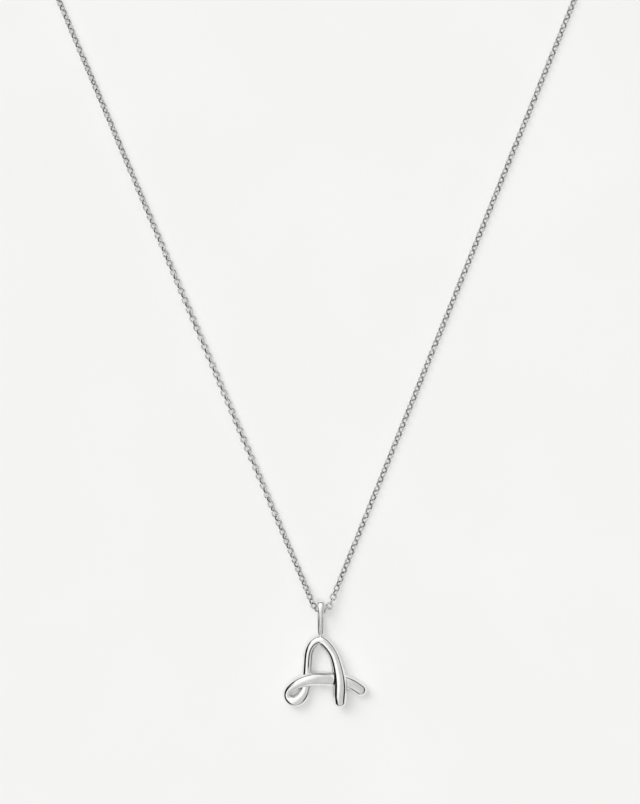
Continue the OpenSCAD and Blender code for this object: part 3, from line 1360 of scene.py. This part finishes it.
@dataclass
class Studio:
    """Pale surface, soft light and the camera straight above.

    Attributes:
        floor_size: width of the surface.
        floor_middle: distance of its inner dividing lines from the middle.
        picture: the picture's width and height, in pixels.
        pixel: what one pixel covers on the surface.
        camera_height: height of the camera over the surface.
        camera_roll: turn of the camera about its own line of sight, in degrees.
        view_centre: point under the middle of the picture.
        sensor: width of the camera's sensor.
        lights: the lights on the surface.
        card_share: share of the surroundings' light that falls on anything but the silver.
        box_side: direction of the bright soft box, in degrees from +X.
        box_lobe: how far a direction points to that side where the ceiling starts to be
            brighter and where it is brightest, as cosines.
        box_levels: the ceiling's level away from the soft box and in it.
        wall_levels: the walls' level by compass direction, in degrees from +X.
        wall_tops: how high the walls reach by compass direction, as sines.
        wall_edge: shares of that height between which a wall passes into the ceiling.
        rim_heights: heights, as sines, at which the pale edge of the surface starts to fade
            and ends.
        rim_level: the level of that edge.
    """

    floor_size: float = 60000.0
    floor_middle: float = 300.0
    picture: tuple[int, int] = (640, 804)
    pixel: float = 0.18
    camera_height: float = 900.0
    camera_roll: float = -0.42
    view_centre: tuple[float, float] = (-0.04, -47.53)
    sensor: float = 36.0
    lights: tuple[SoftLight, ...] = (
        SoftLight("key", 1.02, 44.0, 42.0), SoftLight("fill", 1.20, 14.0, 0.0))
    card_share: float = 0.55
    box_side: float = 155.0
    box_lobe: tuple[float, float] = (-0.25, 0.42)
    box_levels: tuple[float, float] = (0.655, 1.14)
    wall_levels: tuple[tuple[float, float], ...] = (
        (-180, 0.01), (-135, 0.01), (-112, 0.25), (-90, 0.50), (-50, 0.25), (-28, 0.04), (0, 0.02),
        (45, 0.05), (90, 0.06), (135, 0.05), (155, 0.03), (180, 0.01))
    wall_tops: tuple[tuple[float, float], ...] = (
        (-180, 0.72), (-160, 0.70), (-135, 0.58), (-90, 0.30), (-50, 0.34), (-28, 0.46),
        (8, 0.46), (28, 0.32), (60, 0.32), (90, 0.20), (135, 0.30), (158, 0.55), (180, 0.72))
    wall_edge: tuple[float, float] = (0.85, 1.2)
    rim_heights: tuple[float, float] = (0.01, 0.03)
    rim_level: float = 0.8

    def floor(self) -> None:
        """Lays the surface."""
        half = self.floor_size / 2
        line = np.array([-half, -self.floor_middle, 0.0, self.floor_middle, half])
        points = np.array([[x, y, 0.0] for y in line for x in line])
        row = len(line)
        faces = [(k, k + 1, k + row + 1, k + row)
                 for i in range(row - 1) for k in range(i * row, i * row + row - 1)]
        floor = mesh_object("floor", points, faces)
        give_finish(floor, Card().material())

    def camera(self) -> None:
        """Puts the camera above the pendant, looking straight down."""
        data = bpy.data.cameras.new("camera")
        data.sensor_width = self.sensor
        data.lens = self.sensor * self.camera_height / (max(self.picture) * self.pixel)
        data.dof.use_dof = False
        camera = bpy.data.objects.new("camera", data)
        camera.location = [size * MM for size in (*self.view_centre, self.camera_height)]
        camera.rotation_euler = (0.0, 0.0, math.radians(self.camera_roll))
        bpy.context.scene.collection.objects.link(camera)
        bpy.context.scene.camera = camera

    def sky(self) -> None:
        """Surrounds the scene with soft boxes, dark walls and a pale edge of the surface.

        A polished surface shows little but what is round it: the grey of the ceiling, a bright
        box to the upper left, and the dark walls as thin lines near its edges.
        """
        world = bpy.data.worlds.new("studio")
        bpy.context.scene.world = world
        world.use_nodes = True
        tree = world.node_tree
        way = add_node(tree, "ShaderNodeTexCoord").outputs["Generated"]
        split = add_node(tree, "ShaderNodeSeparateXYZ", inputs={0: way})

        def ease(
            value: bpy.types.NodeSocket, low: float | bpy.types.NodeSocket,
            high: float | bpy.types.NodeSocket, to_low: float, to_high: float,
        ) -> bpy.types.NodeSocket:
            """Passes smoothly from one level to another as a value rises.

            Args:
                value: the value.
                low, high: where the passage starts and ends.
                to_low, to_high: the levels there.

            Returns:
                The level.
            """
            return add_node(tree, "ShaderNodeMapRange", {"interpolation_type": "SMOOTHSTEP"}, {
                "Value": value, "From Min": low, "From Max": high,
                "To Min": to_low, "To Max": to_high}).outputs["Result"]

        def work(
            operation: str, first: float | bpy.types.NodeSocket,
            second: float | bpy.types.NodeSocket,
        ) -> bpy.types.NodeSocket:
            """Result of one sum on two values."""
            return add_node(tree, "ShaderNodeMath", {"operation": operation},
                            {0: first, 1: second}).outputs[0]

        def round_table(stops: tuple[tuple[float, float], ...]) -> bpy.types.NodeSocket:
            """Reads a table by compass direction.

            Args:
                stops: pairs of degrees from +X and level.

            Returns:
                The level in the direction that is looked in.
            """
            ramp = add_node(tree, "ShaderNodeValToRGB", inputs={"Fac": compass})
            band = ramp.color_ramp
            band.interpolation = "EASE"
            while len(band.elements) < len(stops):
                band.elements.new(0.5)
            for element, (degrees, grey) in zip(band.elements, stops):
                element.position = (degrees + 180) / 360
                element.color = (grey, grey, grey, 1.0)
            return ramp.outputs["Color"]

        height = split.outputs["Z"]
        compass = add_node(tree, "ShaderNodeMapRange", inputs={
            "Value": work("ARCTAN2", split.outputs["Y"], split.outputs["X"]),
            "From Min": -math.pi, "From Max": math.pi}).outputs["Result"]
        toward = math.radians(self.box_side)
        lobe = add_node(tree, "ShaderNodeVectorMath", {"operation": "DOT_PRODUCT"}, {
            0: way, 1: (math.cos(toward), math.sin(toward), 0.0)}).outputs["Value"]
        ceiling = ease(lobe, *self.box_lobe, *self.box_levels)
        wall_top = round_table(self.wall_tops)
        wall = round_table(self.wall_levels)
        low, high = (work("MULTIPLY", wall_top, share) for share in self.wall_edge)
        above = ease(height, low, high, 0.0, 1.0)
        lit = work("MULTIPLY", ceiling, above)
        dark = work("MULTIPLY", wall, work("SUBTRACT", 1.0, above))
        rim = ease(height, *self.rim_heights, self.rim_level, 0.0)
        level = work("MAXIMUM", work("ADD", lit, dark), rim)
        mirrored = add_node(tree, "ShaderNodeLightPath").outputs["Is Glossy Ray"]
        share = add_node(tree, "ShaderNodeMapRange", inputs={
            "Value": mirrored, "To Min": self.card_share, "To Max": 1.0}).outputs["Result"]
        level = work("MULTIPLY", level, share)
        tree.nodes["Background"].inputs["Color"].default_value = linear("#FFFFFF")
        tree.links.new(level, tree.nodes["Background"].inputs["Strength"])

    def build(self) -> None:
        """Sets the stage, the light and the camera."""
        self.floor()
        self.camera()
        for light in self.lights:
            light.hang()
        self.sky()
        bpy.context.scene.view_settings.view_transform = "Standard"
        LOG.info("studio: surface, camera, %d soft lights and surroundings", len(self.lights))


# The whole necklace


def main() -> None:
    """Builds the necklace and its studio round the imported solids, piece by piece."""
    logging.basicConfig(level=logging.INFO, format="%(message)s")
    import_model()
    layout = Layout()

    silver = BuffedSilver().material()
    # The engraved line's dark grey is a painted dark reflection.
    painted_dark = PaintedReflectionLineSilver().material()
    wire = WireSilver().material()
    # The links' holes get painted shade.
    painted_shade_wire = PaintedShadeWireSilver().material()

    pendant = LetterPendant(layout)
    pendant.dress(pendant.build(), silver, painted_dark)
    # Each run has a pitch and turns of its own, as a limp chain lies.
    left = CableChain(layout, Side.LEFT, pitch=0.905,
                      rolls=((0, 40), (12, 36), (30, 18), (60, 22), (90, 40)))
    left.dress(left.build(), wire, painted_shade_wire)
    right = CableChain(layout, Side.RIGHT, pitch=0.880,
                       rolls=((0, 0), (2.2, 0), (5, 34), (10, 44), (90, 44)))
    right.dress(right.build(), wire, painted_shade_wire)
    clasp = BoltRing(layout)
    clasp.dress(clasp.build(), silver)

    Studio().build()


if __name__ == "__main__":
    main()
